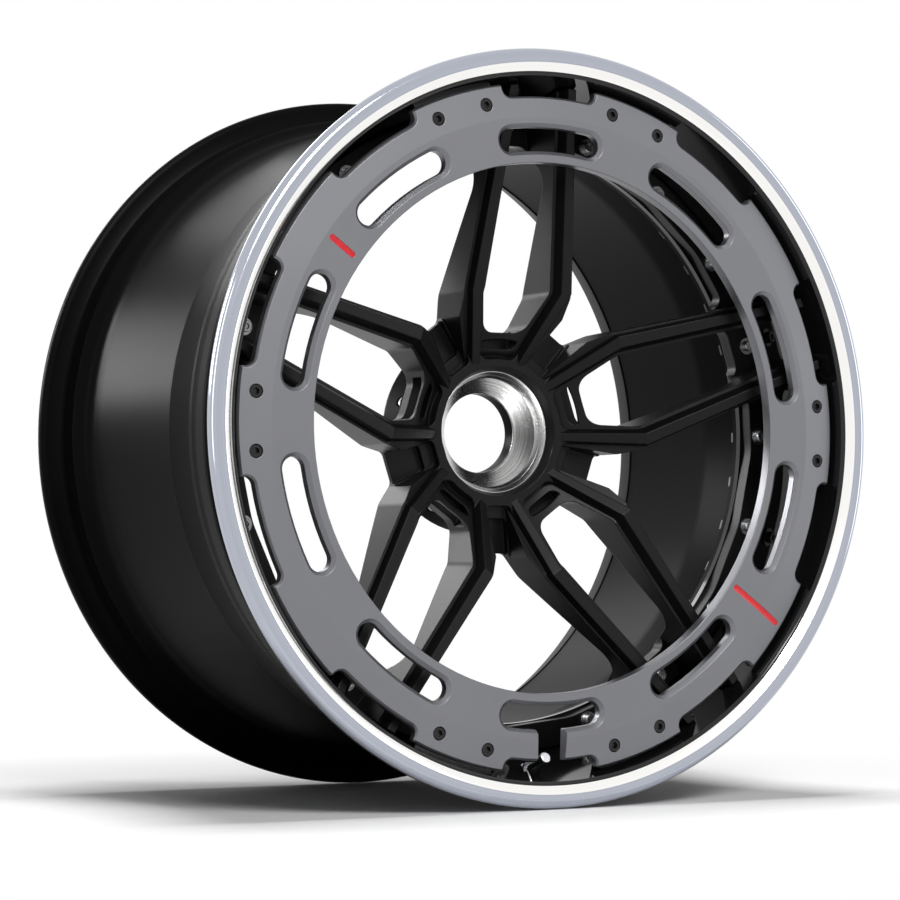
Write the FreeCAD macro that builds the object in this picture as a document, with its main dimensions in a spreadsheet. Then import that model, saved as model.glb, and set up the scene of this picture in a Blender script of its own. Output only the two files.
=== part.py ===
import FreeCAD, Part
import math
import os
import Sketcher

# Multi-piece centre-lock wheel, 21 inch bead seat by 12 inch. Every body is drawn in depth
# coordinates: x and z across the wheel, y is the depth behind the front edge of the lip.
# The placement of each body then moves the hub mounting face to y = 0.

doc = FreeCAD.newDocument("ForgedWheel")
sheet = doc.addObject("Spreadsheet::Sheet", "Sizes")


class Size:
    # A number of the sheet together with the expression that gives it.
    def __init__(self, value, formula):
        self.value = value
        self.formula = formula

    def __add__(self, other):
        other = as_size(other)
        return Size(self.value + other.value, "(%s + %s)" % (self.formula, other.formula))

    def __sub__(self, other):
        other = as_size(other)
        return Size(self.value - other.value, "(%s - %s)" % (self.formula, other.formula))

    def __mul__(self, other):
        other = as_size(other)
        return Size(self.value * other.value, "(%s * %s)" % (self.formula, other.formula))

    def __truediv__(self, other):
        other = as_size(other)
        return Size(self.value / other.value, "(%s / %s)" % (self.formula, other.formula))

    def __neg__(self):
        return Size(-self.value, "(0 - %s)" % self.formula)


def as_size(number):
    if isinstance(number, Size):
        return number
    return Size(float(number), repr(float(number)))


def sine(angle):
    return Size(math.sin(math.radians(angle.value)), "sin(%s * 1deg)" % angle.formula)


def cosine(angle):
    return Size(math.cos(math.radians(angle.value)), "cos(%s * 1deg)" % angle.formula)


next_row = 1


def size(name, value):
    # Writes one driving dimension into the sheet and returns it.
    global next_row
    cell = "B%d" % next_row
    sheet.set("A%d" % next_row, name)
    sheet.set(cell, str(value))
    sheet.setAlias(cell, name)
    next_row += 1
    return Size(float(value), "Sizes." + name)


# Rim
flange_radius = size("flange_radius", 284.0)
flange_thickness = size("flange_thickness", 11.6)
rim_width = size("rim_width", 333.6)
seat_radius = size("seat_radius", 266.7)
seat_drop = size("seat_drop", 1.4)
seat_length = size("seat_length", 34.0)
hump_height = size("hump_height", 1.3)
hub_face_depth = size("hub_face_depth", 134.0)
joint_depth = size("joint_depth", 95.0)
joint_radius = size("joint_radius", 258.0)
lip_flange_thickness = size("lip_flange_thickness", 5.0)
barrel_flange_thickness = size("barrel_flange_thickness", 5.0)
rim_flange_bore = size("rim_flange_bore", 225.0)
lip_edge_radius = size("lip_edge_radius", 267.0)
lip_edge_depth = size("lip_edge_depth", 4.6)
lip_crest_width = size("lip_crest_width", 6.0)
lip_wall_front = size("lip_wall_front", 264.0)
lip_wall_front_depth = size("lip_wall_front_depth", 6.4)
lip_wall_back = size("lip_wall_back", 245.0)
lip_shoulder_radius = size("lip_shoulder_radius", 262.0)
well_radius = size("well_radius", 246.0)
well_front_depth = size("well_front_depth", 158.0)
well_back_radius = size("well_back_radius", 255.0)
well_back_depth = size("well_back_depth", 288.0)
well_step = size("well_step", 0.8)
barrel_wall = size("barrel_wall", 6.0)
barrel_front_bore = size("barrel_front_bore", 245.0)
barrel_edge_radius = size("barrel_edge_radius", 262.0)

# Centre
pairs = size("pairs", 5)
centre_gap = size("centre_gap", 1.5)
centre_flange_bore = size("centre_flange_bore", 222.0)
centre_flange_thickness = size("centre_flange_thickness", 12.0)
hub_front_depth = size("hub_front_depth", 89.6)
hub_front_radius = size("hub_front_radius", 56.0)
hub_ring_radius = size("hub_ring_radius", 50.4)
kink_radius = size("kink_radius", 112.0)
kink_depth = size("kink_depth", 52.5)
face_rim_radius = size("face_rim_radius", 257.0)
face_rim_depth = size("face_rim_depth", 21.4)
ledge_drop = size("ledge_drop", 7.6)
web_back_hub_radius = size("web_back_hub_radius", 78.0)
web_back_hub_depth = size("web_back_hub_depth", 112.0)
web_back_kink_depth = size("web_back_kink_depth", 101.5)
web_back_low_radius = size("web_back_low_radius", 198.0)
web_back_low_depth = size("web_back_low_depth", 54.0)
kink_length = size("kink_length", 105.0)
rim_length = size("rim_length", 250.0)
rib_hub_length = size("rib_hub_length", 50.0)
rib_hub_offset = size("rib_hub_offset", 19.6)
rib_kink_offset = size("rib_kink_offset", 39.2)
rib_rim_offset = size("rib_rim_offset", 26.0)
rib_hub_width = size("rib_hub_width", 6.4)
rib_kink_width = size("rib_kink_width", 8.6)
rib_rim_width = size("rib_rim_width", 6.4)
rib_inner_slope = size("rib_inner_slope", 3.6)
rib_outer_slope = size("rib_outer_slope", 2.2)
window_hub_length = size("window_hub_length", 76.0)
window_hub_half = size("window_hub_half", 17.5)
window_kink_half = size("window_kink_half", 29.0)
window_rim_half = size("window_rim_half", 16.8)
window_corner = size("window_corner", 9.0)
window_hub_corner = size("window_hub_corner", 12.0)
bar_kink_outer = size("bar_kink_outer", 47.2)
bar_rim_outer = size("bar_rim_outer", 33.0)
gap_hub_length = size("gap_hub_length", 94.0)
gap_hub_half = size("gap_hub_half", 12.4)
gap_end_radius = size("gap_end_radius", 223.0)
frame_length = size("frame_length", 55.5)
frame_corner = size("frame_corner", 8.0)
frame_reach = size("frame_reach", 10.5)
frame_depth = size("frame_depth", 10.0)
step_length = size("step_length", 64.0)
step_half = size("step_half", 14.5)
step_corner = size("step_corner", 6.0)
step_reach = size("step_reach", 24.0)
step_drop = size("step_drop", 11.4)
notch_hub_length = size("notch_hub_length", 57.3)
notch_hub_half = size("notch_hub_half", 9.0)
notch_drop = size("notch_drop", 7.0)
notch_deep_length = size("notch_deep_length", 67.0)
notch_deep_drop = size("notch_deep_drop", 12.4)
pad_radius = size("pad_radius", 78.0)
pad_front_radius = size("pad_front_radius", 70.0)
pad_front_depth = size("pad_front_depth", 103.0)
scallop_radius = size("scallop_radius", 22.0)
scallop_centre = size("scallop_centre", 90.0)

# Hub insert and drive pins
insert_radius = size("insert_radius", 47.6)
insert_front_depth = size("insert_front_depth", 97.0)
insert_body_radius = size("insert_body_radius", 40.0)
insert_shoulder_depth = size("insert_shoulder_depth", 116.0)
insert_rim_width = size("insert_rim_width", 0.5)
insert_chamfer = size("insert_chamfer", 0.6)
insert_step_radius = size("insert_step_radius", 42.4)
insert_step_depth = size("insert_step_depth", 107.0)
insert_bore_radius = size("insert_bore_radius", 30.9)
insert_cone_depth = size("insert_cone_depth", 120.7)
pin_circle_radius = size("pin_circle_radius", 65.0)
pin_bore_radius = size("pin_bore_radius", 7.2)
pin_bush_radius = size("pin_bush_radius", 9.5)
pin_bush_length = size("pin_bush_length", 16.0)

# Fasteners of the rim
bolt_circle_radius = size("bolt_circle_radius", 234.6)
bolt_count = size("bolt_count", 20)
bolt_shank_radius = size("bolt_shank_radius", 3.5)
bolt_hole_clearance = size("bolt_hole_clearance", 0.2)
bolt_head_radius = size("bolt_head_radius", 5.0)
bolt_head_height = size("bolt_head_height", 4.4)
bolt_tip_length = size("bolt_tip_length", 2.6)
bolt_washer_radius = size("bolt_washer_radius", 6.6)
bolt_washer_height = size("bolt_washer_height", 1.2)
nut_radius = size("nut_radius", 7.4)
nut_height = size("nut_height", 7.0)
sunk_head_radius = size("sunk_head_radius", 6.0)
seal_radius = size("seal_radius", 251.0)
seal_width = size("seal_width", 2.4)
seal_depth = size("seal_depth", 1.6)

# Aero ring
ring_front_depth = size("ring_front_depth", 10.2)
ring_thickness = size("ring_thickness", 9.4)
ring_bore_radius = size("ring_bore_radius", 199.0)
ring_crease_radius = size("ring_crease_radius", 233.0)
ring_outer_radius = size("ring_outer_radius", 259.0)
ring_outer_setback = size("ring_outer_setback", 2.4)
slot_count = size("slot_count", 10)
slot_inner_radius = size("slot_inner_radius", 207.8)
slot_outer_radius = size("slot_outer_radius", 225.8)
slot_half_angle = size("slot_half_angle", 11.44)
slot_chamfer = size("slot_chamfer", 3.0)
notch_floor_radius = size("notch_floor_radius", 249.0)
notch_half_angle = size("notch_half_angle", 9.1)
notch_corner = size("notch_corner", 7.0)
notch_flare = size("notch_flare", 2.0)
valve_cut_half = size("valve_cut_half", 13.0)
edge_break = size("edge_break", 0.5)
notch_chamfer = size("notch_chamfer", 1.6)
screw_circle_radius = size("screw_circle_radius", 245.4)
screw_spread = size("screw_spread", 5.0)
screw_head_radius = size("screw_head_radius", 4.9)
screw_head_height = size("screw_head_height", 4.0)
screw_head_clearance = size("screw_head_clearance", 0.3)
screw_shank_radius = size("screw_shank_radius", 2.5)
screw_length = size("screw_length", 9.0)
screw_socket_radius = size("screw_socket_radius", 2.1)
lug_bore_radius = size("lug_bore_radius", 237.0)
lug_depth = size("lug_depth", 12.0)
lug_half_angle = size("lug_half_angle", 7.5)
mark_width = size("mark_width", 4.8)
mark_groove_depth = size("mark_groove_depth", 4.0)
mark_sink = size("mark_sink", 0.3)
short_mark_start = size("short_mark_start", 205.5)
short_mark_end = size("short_mark_end", 230.0)
long_mark_start = size("long_mark_start", 203.0)
long_mark_end = size("long_mark_end", 254.0)

# Valve
valve_depth = size("valve_depth", 41.0)
valve_tilt = size("valve_tilt", 24.4)
valve_hole_radius = size("valve_hole_radius", 4.2)
valve_shank_radius = size("valve_shank_radius", 4.0)
valve_seat_inside = size("valve_seat_inside", 8.0)
valve_seat_outside = size("valve_seat_outside", 15.0)
valve_seat_radius = size("valve_seat_radius", 8.6)
valve_foot_radius = size("valve_foot_radius", 7.6)
valve_foot_height = size("valve_foot_height", 3.0)
valve_seal_height = size("valve_seal_height", 2.0)
valve_washer_height = size("valve_washer_height", 1.2)
valve_washer_radius = size("valve_washer_radius", 7.0)
valve_nut_radius = size("valve_nut_radius", 6.6)
valve_nut_height = size("valve_nut_height", 5.0)
valve_reach = size("valve_reach", 21.0)
valve_neck_radius = size("valve_neck_radius", 2.9)
valve_neck_length = size("valve_neck_length", 10.0)
valve_bore_radius = size("valve_bore_radius", 1.3)
valve_core_radius = size("valve_core_radius", 1.2)
valve_core_length = size("valve_core_length", 12.0)
valve_cap_radius = size("valve_cap_radius", 4.2)
valve_cap_length = size("valve_cap_length", 11.0)
valve_cap_roof = size("valve_cap_roof", 2.0)

doc.recompute()

nodes = []


def vector(point):
    return FreeCAD.Vector(point[0].value, point[1].value, 0)


def new_body(label, several=False):
    body = doc.addObject("PartDesign::Body", label)
    body.Label = label
    body.AllowCompound = several
    body.setExpression("Placement.Base.y", (-hub_face_depth).formula)
    nodes.append(body)
    return body


def origin_feature(body, role):
    for feature in body.Origin.OriginFeatures:
        if feature.Role == role:
            return feature
    raise ValueError("no origin feature " + role)


def new_sketch(body, name, role="XY_Plane", offset=None, axis=None, angle=None):
    # A sketch on an origin plane, moved along its normal and turned about one of its own axes.
    sketch = body.newObject("Sketcher::SketchObject", name)
    sketch.AttachmentSupport = (origin_feature(body, role), [""])
    sketch.MapMode = "FlatFace"
    offset = as_size(0 if offset is None else offset)
    turn = FreeCAD.Rotation()
    if axis is not None:
        turn = FreeCAD.Rotation(axis, angle.value)
    sketch.AttachmentOffset = FreeCAD.Placement(FreeCAD.Vector(0, 0, offset.value), turn)
    sketch.setExpression("AttachmentOffset.Base.z", offset.formula)
    if axis is not None:
        sketch.setExpression("AttachmentOffset.Rotation.Angle", angle.formula)
    return sketch


def bind_last(sketch, index, amount):
    sketch.setExpression("Constraints[%d]" % index, amount.formula)


def pin_point(sketch, geometry, position, point):
    # Holds a point of the sketch at two sizes of the sheet.
    for kind, amount, across in (("DistanceX", point[0], -2), ("DistanceY", point[1], -1)):
        if abs(amount.value) < 1e-9:
            sketch.addConstraint(Sketcher.Constraint("PointOnObject", geometry, position, across))
        else:
            constraint = Sketcher.Constraint(kind, -1, 1, geometry, position, amount.value)
            bind_last(sketch, sketch.addConstraint(constraint), amount)


def draw_outline(sketch, corners):
    # Closed outline of straight sides. A corner is (x, y) or (x, y, radius of the rounding).
    corners = [tuple(as_size(number) for number in corner) for corner in corners]
    points = [vector(corner) for corner in corners]
    count = len(corners)
    starts = list(points)
    ends = list(points)
    arcs = {}
    for index, corner in enumerate(corners):
        if len(corner) < 3:
            continue
        back = (points[index - 1] - points[index]).normalize()
        ahead = (points[(index + 1) % count] - points[index]).normalize()
        half = back.getAngle(ahead) / 2
        reach = corner[2].value / math.tan(half)
        ends[index] = points[index] + back * reach
        starts[index] = points[index] + ahead * reach
        middle = (back + ahead).normalize() * (corner[2].value / math.sin(half))
        arcs[index] = (points[index] + middle, back.cross(ahead).z < 0)
    for index in range(count):
        sketch.addGeometry(Part.LineSegment(starts[index], ends[(index + 1) % count]), False)
    for index, corner in enumerate(corners):
        before = (index - 1) % count
        if index not in arcs:
            sketch.addConstraint(Sketcher.Constraint("Coincident", before, 2, index, 1))
            pin_point(sketch, index, 1, corner)
            continue
        centre, leftwards = arcs[index]
        first = ends[index] - centre
        last = starts[index] - centre
        if not leftwards:
            first, last = last, first
        circle = Part.Circle(centre, FreeCAD.Vector(0, 0, 1), corner[2].value)
        arc_shape = Part.ArcOfCircle(circle, math.atan2(first.y, first.x), math.atan2(last.y, last.x))
        arc = sketch.addGeometry(arc_shape, False)
        entry = 1 if leftwards else 2
        sketch.addConstraint(Sketcher.Constraint("Tangent", before, 2, arc, entry))
        sketch.addConstraint(Sketcher.Constraint("Tangent", arc, 3 - entry, index, 1))
        rounding = Sketcher.Constraint("Radius", arc, corner[2].value)
        bind_last(sketch, sketch.addConstraint(rounding), corner[2])
        tip = sketch.addGeometry(Part.Point(points[index]), True)
        sketch.addConstraint(Sketcher.Constraint("PointOnObject", tip, 1, before))
        sketch.addConstraint(Sketcher.Constraint("PointOnObject", tip, 1, index))
        pin_point(sketch, tip, 1, corner)


def draw_circle(sketch, centre, radius):
    centre = tuple(as_size(number) for number in centre)
    radius = as_size(radius)
    circle = Part.Circle(vector(centre), FreeCAD.Vector(0, 0, 1), radius.value)
    geometry = sketch.addGeometry(circle, False)
    bind_last(sketch, sketch.addConstraint(Sketcher.Constraint("Radius", geometry, radius.value)), radius)
    pin_point(sketch, geometry, 3, centre)


def draw_polygon(sketch, sides, centre, radius):
    corners = []
    for index in range(sides):
        angle = 2 * math.pi * index / sides
        corners.append((centre[0] + radius * math.cos(angle), centre[1] + radius * math.sin(angle)))
    draw_outline(sketch, corners)


def revolve(body, name, corners, axis_x=None, angle=None, turn=None, cut=False):
    # Turned form about the wheel axis, or about a parallel line at axis_x.
    upright = None if turn is None else FreeCAD.Vector(0, 1, 0)
    sketch = new_sketch(body, name + "_profile", "XY_Plane", None, upright, turn)
    reference = "V_Axis"
    draw_outline(sketch, corners)
    if axis_x is not None:
        start = (axis_x, as_size(corners[0][1]))
        low = FreeCAD.Vector(axis_x.value, start[1].value, 0)
        high = FreeCAD.Vector(axis_x.value, start[1].value + 20, 0)
        line = sketch.addGeometry(Part.LineSegment(low, high), True)
        sketch.addConstraint(Sketcher.Constraint("Vertical", line))
        sketch.addConstraint(Sketcher.Constraint("DistanceY", line, 1, line, 2, 20.0))
        pin_point(sketch, line, 1, start)
        reference = "Axis0"
    kind = "PartDesign::Groove" if cut else "PartDesign::Revolution"
    feature = body.newObject(kind, name)
    feature.Profile = sketch
    feature.Refine = False
    feature.ReferenceAxis = (sketch, [reference])
    if angle is None:
        feature.Angle = 360
    else:
        feature.setExpression("Angle", angle.formula)
        feature.Midplane = True
    doc.recompute()
    return feature


def extrude(body, name, sketch, length, cut=False, taper=None):
    # From the sketch: a pocket cuts towards the rear, a pad grows towards the front.
    feature = body.newObject("PartDesign::Pocket" if cut else "PartDesign::Pad", name)
    feature.Profile = sketch
    feature.Refine = False
    feature.setExpression("Length", as_size(length).formula)
    if taper is not None:
        feature.setExpression("TaperAngle", as_size(taper).formula)
    doc.recompute()
    return feature


def front_sketch(body, name, depth, turn=None):
    # A sketch seen from the front: x to the right, y up, at the given depth.
    axis = None if turn is None else FreeCAD.Vector(0, 0, 1)
    return new_sketch(body, name, "XZ_Plane", -as_size(depth), axis, turn)


def repeat(body, name, features, count):
    pattern = body.newObject("PartDesign::PolarPattern", name)
    pattern.Originals = features
    pattern.Refine = False
    pattern.Axis = (origin_feature(body, "Y_Axis"), [""])
    pattern.Angle = 360
    pattern.setExpression("Occurrences", count.formula)
    body.Tip = pattern
    doc.recompute()
    return pattern


def mix(low, high, share):
    # Point of the straight line from low to high.
    return low + (high - low) * share


# Sizes that follow from the driving ones
bolt_step = as_size(360) / bolt_count
half_step = bolt_step / 2
pair_step = as_size(360) / pairs
gap_turn = pair_step / 2
slot_step = as_size(360) / slot_count
lip_flange_front = joint_depth - lip_flange_thickness
barrel_flange_back = joint_depth + barrel_flange_thickness
centre_flange_front = lip_flange_front - centre_flange_thickness
bolt_hole_radius = bolt_shank_radius + bolt_hole_clearance
rear_flange_depth = rim_width - flange_thickness
ring_back_depth = ring_front_depth + ring_thickness
wall_slope = (lip_wall_front - lip_wall_back) / (lip_flange_front - lip_wall_front_depth)
web_radius_span = face_rim_radius - kink_radius
face_slope = (kink_depth - face_rim_depth) / web_radius_span


def wall_radius(depth):
    # Radius of the lip's inner wall.
    return lip_wall_back + wall_slope * (lip_flange_front - depth)


valve_radius = wall_radius(valve_depth)

# Front half of the rim
lip = new_body("outer_lip")
lip_seat_end = flange_thickness + 2 + seat_length
revolve(lip, "lip_turned", [
    (lip_edge_radius, lip_edge_depth),
    (lip_edge_radius + lip_crest_width, as_size(0.0)),
    (flange_radius, as_size(0.0), 6.5),
    (flange_radius, flange_thickness, 3),
    (seat_radius, flange_thickness + 2, 5),
    (seat_radius - seat_drop, lip_seat_end),
    (seat_radius - seat_drop + hump_height, lip_seat_end + 4, 3),
    (lip_shoulder_radius + 1, lip_seat_end + 14, 6),
    (lip_shoulder_radius, joint_depth - 20, 8),
    (joint_radius, joint_depth - 3),
    (joint_radius, joint_depth),
    (rim_flange_bore, joint_depth),
    (rim_flange_bore, lip_flange_front),
    (lip_wall_back, lip_flange_front, centre_gap * 0.8),
    (lip_wall_front, lip_wall_front_depth),
    (lip_wall_front + 1.6, lip_edge_depth),
])

lug_angles = [0, 72, 108, 180, 252, 288]
for lug, lug_angle in enumerate(lug_angles):
    revolve(lip, "lug_%d" % lug, [
        (lug_bore_radius, ring_back_depth),
        (wall_radius(ring_back_depth) + 1, ring_back_depth),
        (wall_radius(ring_back_depth + lug_depth) + 1, ring_back_depth + lug_depth),
        (lug_bore_radius, ring_back_depth + lug_depth, 3),
    ], angle=lug_half_angle * 2, turn=as_size(-lug_angle))

screw_points = []
for lug_angle in lug_angles:
    for side in (-1, 1):
        angle = as_size(lug_angle) + screw_spread * side
        screw_points.append((screw_circle_radius * cosine(angle), screw_circle_radius * sine(angle)))

lug_holes = front_sketch(lip, "lug_hole_circles", ring_back_depth - 1)
for point in screw_points:
    draw_circle(lug_holes, point, screw_shank_radius)
extrude(lip, "lug_holes", lug_holes, screw_length + 2, cut=True)

lip_hole = front_sketch(lip, "lip_bolt_circle", lip_flange_front - 1)
draw_circle(lip_hole, (as_size(0.0), bolt_circle_radius), bolt_hole_radius)
lip_hole_cut = extrude(lip, "lip_bolt_hole", lip_hole, lip_flange_thickness + 2, cut=True)
repeat(lip, "lip_bolt_holes", [lip_hole_cut], bolt_count)

sunk_profile = [
    (bolt_circle_radius, lip_flange_front),
    (bolt_circle_radius + sunk_head_radius, lip_flange_front),
    (bolt_circle_radius + bolt_hole_radius, lip_flange_front + sunk_head_radius - bolt_hole_radius),
    (bolt_circle_radius + bolt_hole_radius, joint_depth),
    (bolt_circle_radius, joint_depth),
]
lip_sunk = revolve(lip, "lip_sunk_hole", sunk_profile, bolt_circle_radius, turn=half_step, cut=True)
repeat(lip, "lip_sunk_holes", [lip_sunk], bolt_count)


def valve_sketch(body, name, along):
    # A sketch across the valve axis, along is the distance from the wall towards the tyre side.
    sketch = new_sketch(body, name, "XZ_Plane", -(valve_depth + along * cosine(valve_tilt)),
                        FreeCAD.Vector(1, 0, 0), -valve_tilt)
    shift = -(valve_radius + along * sine(valve_tilt))
    sketch.AttachmentOffset = FreeCAD.Placement(
        FreeCAD.Vector(0, shift.value, sketch.AttachmentOffset.Base.z), sketch.AttachmentOffset.Rotation)
    sketch.setExpression("AttachmentOffset.Base.y", shift.formula)
    return sketch


valve_hole = valve_sketch(lip, "valve_hole_circle", as_size(-20))
draw_circle(valve_hole, (as_size(0.0), as_size(0.0)), valve_hole_radius)
extrude(lip, "valve_hole", valve_hole, as_size(60), cut=True)
inner_seat = valve_sketch(lip, "valve_inner_circle", as_size(-20))
draw_circle(inner_seat, (as_size(0.0), as_size(0.0)), valve_washer_radius + 0.4)
extrude(lip, "valve_inner_seat", inner_seat, valve_seat_inside + 20, cut=True)
outer_seat = valve_sketch(lip, "valve_outer_circle", valve_seat_outside)
draw_circle(outer_seat, (as_size(0.0), as_size(0.0)), valve_seat_radius)
extrude(lip, "valve_outer_seat", outer_seat, as_size(30), cut=True)

# Rear half of the rim
barrel = new_body("inner_barrel")
rear_seat_start = rear_flange_depth - 2 - 16
revolve(barrel, "barrel_turned", [
    (rim_flange_bore, joint_depth),
    (joint_radius, joint_depth),
    (joint_radius, joint_depth + 3),
    (well_radius + well_step, well_front_depth, 12),
    (well_radius, well_front_depth + 1.6),
    (well_back_radius, well_back_depth, 20),
    (seat_radius - seat_drop + hump_height, rear_seat_start - 5, 3),
    (seat_radius - seat_drop, rear_seat_start),
    (seat_radius, rear_flange_depth - 2, 5),
    (flange_radius, rear_flange_depth, 3),
    (flange_radius, rim_width, 6.5),
    (barrel_edge_radius + 4, rim_width, 3),
    (barrel_edge_radius - 2, rim_width - 9, 6),
    (well_back_radius - barrel_wall + 1, well_back_depth + 6, 10),
    (well_radius - barrel_wall, well_front_depth + 4, 14),
    (barrel_front_bore, barrel_flange_back + 12, 8),
    (barrel_front_bore, barrel_flange_back),
    (rim_flange_bore, barrel_flange_back),
])
barrel_hole = front_sketch(barrel, "barrel_bolt_circle", joint_depth - 1)
draw_circle(barrel_hole, (as_size(0.0), bolt_circle_radius), bolt_hole_radius)
barrel_hole_cut = extrude(barrel, "barrel_bolt_hole", barrel_hole, barrel_flange_thickness + 2, cut=True)
repeat(barrel, "barrel_bolt_holes", [barrel_hole_cut], bolt_count * 2)
seal_section = [
    (seal_radius - seal_width / 2, joint_depth),
    (seal_radius + seal_width / 2, joint_depth),
    (seal_radius + seal_width / 2, joint_depth + seal_depth),
    (seal_radius - seal_width / 2, joint_depth + seal_depth),
]
revolve(barrel, "seal_groove", seal_section, cut=True)
seal = new_body("rim_seal")
revolve(seal, "seal_turned", seal_section)

# Centre: a turned blank whose front is the ledge level, milled through in ten windows
centre = new_body("wheel_centre")


def outer_contour(depth):
    return wall_radius(depth) - centre_gap


ledge_rim_depth = face_rim_depth + ledge_drop
revolve(centre, "blank", [
    (insert_radius, insert_front_depth - 0.6),
    (hub_ring_radius, hub_front_depth),
    (hub_front_radius, hub_front_depth),
    (hub_front_radius + 2.6, hub_front_depth + ledge_drop - 1.6),
    (kink_radius, kink_depth + ledge_drop, 6),
    (face_rim_radius + 4, ledge_rim_depth - face_slope * 4),
    (outer_contour(lip_flange_front) + 3, lip_flange_front),
    (centre_flange_bore - 4, lip_flange_front),
    (web_back_low_radius, web_back_low_depth, 16),
    (kink_radius, web_back_kink_depth, 30),
    (web_back_hub_radius, web_back_hub_depth),
    (insert_radius, web_back_hub_depth),
])

rim_share = (centre_flange_bore - 2 - kink_length) / (rim_length - kink_length)
window_end_half = mix(window_kink_half, window_rim_half, rim_share)
window = front_sketch(centre, "window_outline", 0)
draw_outline(window, [
    (window_hub_half, window_hub_length, window_hub_corner),
    (window_kink_half, kink_length, 12),
    (window_end_half, centre_flange_bore - 2, window_corner),
    (-window_end_half, centre_flange_bore - 2, window_corner),
    (-window_kink_half, kink_length, 12),
    (-window_hub_half, window_hub_length, window_hub_corner),
])
window_cut = extrude(centre, "window", window, as_size(160), cut=True)
shelf_share = (as_size(190) - kink_length) / (rim_length - kink_length)
shelf_start_half = mix(window_kink_half, window_rim_half, shelf_share)
shelf_end_half = mix(window_kink_half, window_rim_half, as_size(1.12))
shelf_end = mix(kink_length, rim_length, as_size(1.12))
shelf = front_sketch(centre, "window_shelf_outline", 0)
draw_outline(shelf, [
    (shelf_start_half, as_size(190)),
    (shelf_end_half, shelf_end),
    (-shelf_end_half, shelf_end),
    (-shelf_start_half, as_size(190)),
])
shelf_cut = extrude(centre, "window_shelf", shelf, centre_flange_front, cut=True)
repeat(centre, "windows", [window_cut, shelf_cut], pairs)

# The windows between two pairs are drawn about the line half way between the pairs
turn_cos = cosine(gap_turn)
turn_sin = sine(gap_turn)


def gap_point(along, across):
    # A point of the outer wall of a bar, seen from the middle line between two pairs.
    return (along * turn_sin - across * turn_cos, along * turn_cos + across * turn_sin)


gap_kink = gap_point(kink_length, bar_kink_outer)
gap_far = gap_point(rim_length, bar_rim_outer)
gap_share = as_size(0.83)
gap_end = (mix(gap_kink[0], gap_far[0], gap_share), mix(gap_kink[1], gap_far[1], gap_share))
gap = front_sketch(centre, "gap_outline", 0, gap_turn)
gap_mid = gap_end_radius * 1.028
draw_outline(gap, [
    (gap_hub_half, gap_hub_length, 6),
    (gap_kink[0], gap_kink[1], 14),
    (gap_end[0], gap_end[1], window_corner),
    (gap_end_radius * 0.26, gap_mid * 0.962, 60),
    (as_size(0.0), gap_mid * 0.9895, 60),
    (-gap_end_radius * 0.26, gap_mid * 0.962, 60),
    (-gap_end[0], gap_end[1], window_corner),
    (-gap_kink[0], gap_kink[1], 14),
    (-gap_hub_half, gap_hub_length, 6),
])
gap_cut = extrude(centre, "gap", gap, as_size(160), cut=True)
shelf_near = (mix(gap_kink[0], gap_far[0], as_size(0.6)), mix(gap_kink[1], gap_far[1], as_size(0.6)))
shelf_far = (mix(gap_kink[0], gap_far[0], as_size(1.12)), mix(gap_kink[1], gap_far[1], as_size(1.12)))
gap_shelf = front_sketch(centre, "gap_shelf_outline", 0, gap_turn)
draw_outline(gap_shelf, [
    (shelf_near[0], shelf_near[1]),
    (shelf_far[0], shelf_far[1]),
    (as_size(0.0), face_rim_radius * 1.25),
    (-shelf_far[0], shelf_far[1]),
    (-shelf_near[0], shelf_near[1]),
])
gap_shelf_cut = extrude(centre, "gap_shelf", gap_shelf, centre_flange_front, cut=True)
repeat(centre, "gaps", [gap_cut, gap_shelf_cut], pairs)

# Step at the hub end of the windows, below the ledge
step = front_sketch(centre, "step_outline", hub_front_depth - 2)
step_far = step_length + step_reach
step_far_half = step_half + step_reach * 0.155
draw_outline(step, [
    (step_half, step_length, step_corner),
    (step_far_half, step_far),
    (-step_far_half, step_far),
    (-step_half, step_length, step_corner),
])
step_cut = extrude(centre, "step", step, step_drop + 2, cut=True)
repeat(centre, "hub_steps", [step_cut], pairs)

# Pockets in the hub between the pairs
pocket_far = gap_hub_length + 8
pocket = front_sketch(centre, "pocket_outline", 0, gap_turn)
draw_outline(pocket, [
    (notch_hub_half, notch_hub_length, 5),
    (gap_hub_half + 2.2, pocket_far),
    (-gap_hub_half - 2.2, pocket_far),
    (-notch_hub_half, notch_hub_length, 5),
])
pocket_cut = extrude(centre, "pocket", pocket, hub_front_depth + notch_drop, cut=True)
deep = front_sketch(centre, "deep_pocket_outline", 0, gap_turn)
draw_outline(deep, [
    (notch_hub_half + 1.2, notch_deep_length, 4),
    (gap_hub_half + 0.6, pocket_far),
    (-gap_hub_half - 0.6, pocket_far),
    (-notch_hub_half - 1.2, notch_deep_length, 4),
])
deep_cut = extrude(centre, "deep_pocket", deep, hub_front_depth + notch_deep_drop, cut=True)
repeat(centre, "hub_pockets", [pocket_cut, deep_cut], pairs)

# Rounded corners between the hub face and the ribs, towards the windows and towards the gaps
rib_run = (rib_kink_offset - rib_hub_offset) / (kink_length - rib_hub_length)
rib_spread = (rib_kink_width - rib_hub_width) / 2 / (kink_length - rib_hub_length)


def inner_foot(along):
    # Distance of a rib's inner foot from the middle line of its pair.
    return rib_hub_offset - rib_hub_width / 2 - rib_inner_slope + (rib_run - rib_spread) * (along - rib_hub_length)


def outer_foot(along):
    # Distance of a rib's outer foot from the middle line of its pair.
    return rib_hub_offset + rib_hub_width / 2 + rib_outer_slope + (rib_run + rib_spread) * (along - rib_hub_length)


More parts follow.
